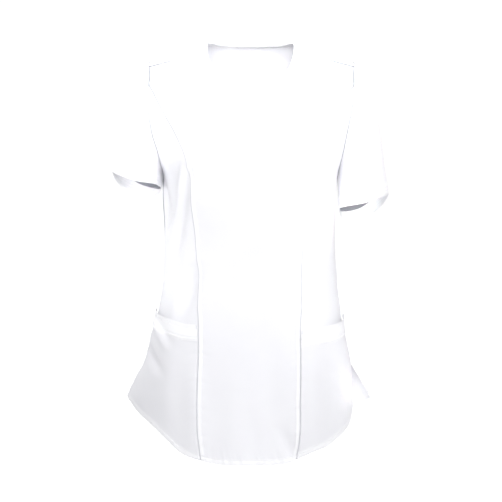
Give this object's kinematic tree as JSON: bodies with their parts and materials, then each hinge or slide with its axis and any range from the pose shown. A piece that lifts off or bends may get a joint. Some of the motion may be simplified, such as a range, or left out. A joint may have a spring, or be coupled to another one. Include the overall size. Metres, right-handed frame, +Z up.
{
  "type": "scrub top",
  "caption": "Short-sleeved V-neck scrub top of woven cloth, filled out as worn, with princess seams, a narrow neckband, patch pockets and side vents, open at neck, sleeves and hem.",
  "frame": {"origin": "the point between the shoulders where the wearer carries the garment, at mid width, a little below the top of the back neck, on the line from front to back where the shoulder seams meet the sleeves", "axes": "+X towards the wearer's left, +Y towards the back, +Z up, so the front faces -Y"},
  "size_m": [0.465, 0.2354, 0.7075],
  "materials": {
    "cloth": "matt",
    "neckband": "matt",
    "pocket": "matt"
  },
  "bodies": {
    "root": {"front_centre": "cloth", "front_side_right": "cloth", "front_side_left": "cloth", "back": "cloth", "sleeve_right": "cloth", "sleeve_left": "cloth", "neckband": "neckband", "pocket_right": "pocket", "pocket_left": "pocket"}
  },
  "joints": []
}
